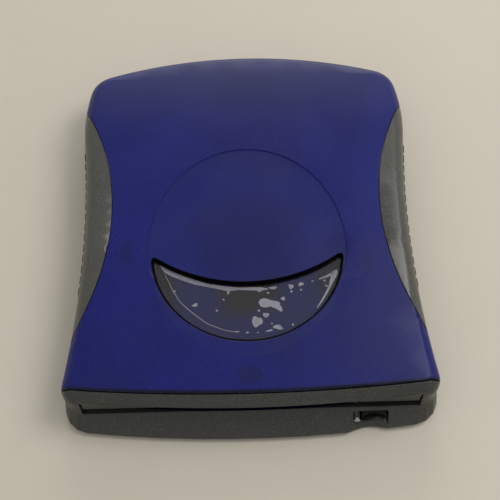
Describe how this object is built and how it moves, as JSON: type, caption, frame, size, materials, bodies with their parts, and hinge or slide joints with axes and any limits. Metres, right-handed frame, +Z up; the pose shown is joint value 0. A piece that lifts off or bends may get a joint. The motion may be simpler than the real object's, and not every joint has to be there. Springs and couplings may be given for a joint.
{
  "type": "cartridge disk drive",
  "caption": "Flat desktop drive for removable disk cartridges: see-through lid with a smoky crescent window, slotted sloping front with dust flap and eject button, ribbed side grips.",
  "frame": {"origin": "on the table, under the middle of the case's bounding box", "axes": "+Z up; -Y out of the slot; +X to the right when looking at the slot"},
  "size_m": [0.1122, 0.1331, 0.0203],
  "materials": {
    "lid_blue": "frosted see-through",
    "tray_blue": "satin",
    "bezel_grey": "speckled satin",
    "lens_smoke": "smoky, glossy",
    "film_silver": "streaked",
    "grip_grey": "satin",
    "pad_rubber": "matte",
    "foot_rubber": "matte",
    "screw_steel": "bright",
    "flap_grey": "satin",
    "rod_steel": "ground",
    "button_black": "glossy",
    "spring_steel": "bright",
    "pipe_clear": "clear",
    "lamp_green": "clear",
    "switch_black": "matte",
    "rail_white": "matte",
    "deck_steel": "plain",
    "coil_copper": "lacquered",
    "rotor_steel": "ground",
    "magnet_black": "plain",
    "carriage_plastic": "matte",
    "slider_ceramic": "ground",
    "yoke_steel": "plated",
    "board_green": "lacquered",
    "chip_black": "matte",
    "socket_steel": "bright",
    "insert_white": "matte",
    "shield_steel": "plain",
    "lever_steel": "plain",
    "solenoid_steel": "plain"
  },
  "bodies": {
    "chassis": {"top_shell": "lid_blue", "base_tray": "tray_blue", "front_bezel": "bezel_grey", "window_lens": "lens_smoke", "window_film": "film_silver", "side_grip_right": "grip_grey", "side_grip_left": "grip_grey", "grip_pad_right": "pad_rubber", "grip_pad_left": "pad_rubber", "rubber_feet": "foot_rubber", "case_screws": "screw_steel", "flap_pin": "rod_steel", "button_spring": "spring_steel", "light_pipe": "pipe_clear", "activity_led": "lamp_green", "eject_switch": "switch_black", "guide_rail_right": "rail_white", "guide_rail_left": "rail_white", "platform_springs": "spring_steel", "main_board": "board_green", "board_chips": "chip_black", "usb_socket": "socket_steel", "usb_insert": "insert_white", "top_shield": "shield_steel", "latch_pin": "rod_steel", "eject_solenoid": "solenoid_steel"},
    "flap": {"dust_flap": "flap_grey"},
    "button": {"eject_button": "button_black"},
    "platform": {"motor_platform": "deck_steel", "spindle_base": "deck_steel", "stator_coils": "coil_copper", "guide_rods": "rod_steel", "inner_yokes": "yoke_steel", "magnet_bars": "magnet_black", "yoke_plates": "yoke_steel"},
    "spindle": {"spindle_rotor": "rotor_steel", "hub_magnet": "magnet_black", "spindle_shaft": "rod_steel"},
    "head": {"head_carriage": "carriage_plastic", "head_arm_upper": "spring_steel", "head_arm_lower": "spring_steel", "read_heads": "slider_ceramic", "voice_coils": "coil_copper"},
    "latch": {"latch_lever": "lever_steel"},
    "plunger": {"solenoid_plunger": "rod_steel"}
  },
  "joints": [
    {"name": "flap_swing", "type": "hinge", "parent": "chassis", "child": "flap", "pos_m": [0, -0.0578, 0.01335], "axis": [1, 0, 0], "range_deg": [0, 90], "stiffness_Nm_per_rad": 0.0002, "springref_deg": -34.38},
    {"name": "button_press", "type": "slide", "parent": "chassis", "child": "button", "axis": [0, 1, 0], "range_m": [0, 0.0014], "stiffness_N_per_m": 300, "springref_m": -0.001, "deforming": ["button_spring"]},
    {"name": "platform_slide", "type": "slide", "parent": "chassis", "child": "platform", "axis": [0, 0.9864, 0.1644], "range_m": [0, 0.01217], "stiffness_N_per_m": 60, "springref_m": -0.02, "deforming": ["platform_springs"]},
    {"name": "spindle_spin", "type": "hinge", "parent": "platform", "child": "spindle", "pos_m": [0, -0.0197, 0.0055], "axis": [0, 0, 1], "continuous": true},
    {"name": "head_slide", "type": "slide", "parent": "platform", "child": "head", "axis": [0, -1, 0], "range_m": [0, 0.0145]},
    {"name": "latch_swing", "type": "hinge", "parent": "chassis", "child": "latch", "pos_m": [-0.0335, 0.05, 0.0075], "axis": [0, 0, -1], "range_deg": [0, 20]},
    {"name": "plunger_slide", "type": "slide", "parent": "chassis", "child": "plunger", "axis": [1, 0, 0], "range_m": [0, 0.00139]}
  ],
  "couplings": [
    {"joint": "latch_swing", "follows": "plunger_slide", "rad_per_m": 251.23}
  ]
}
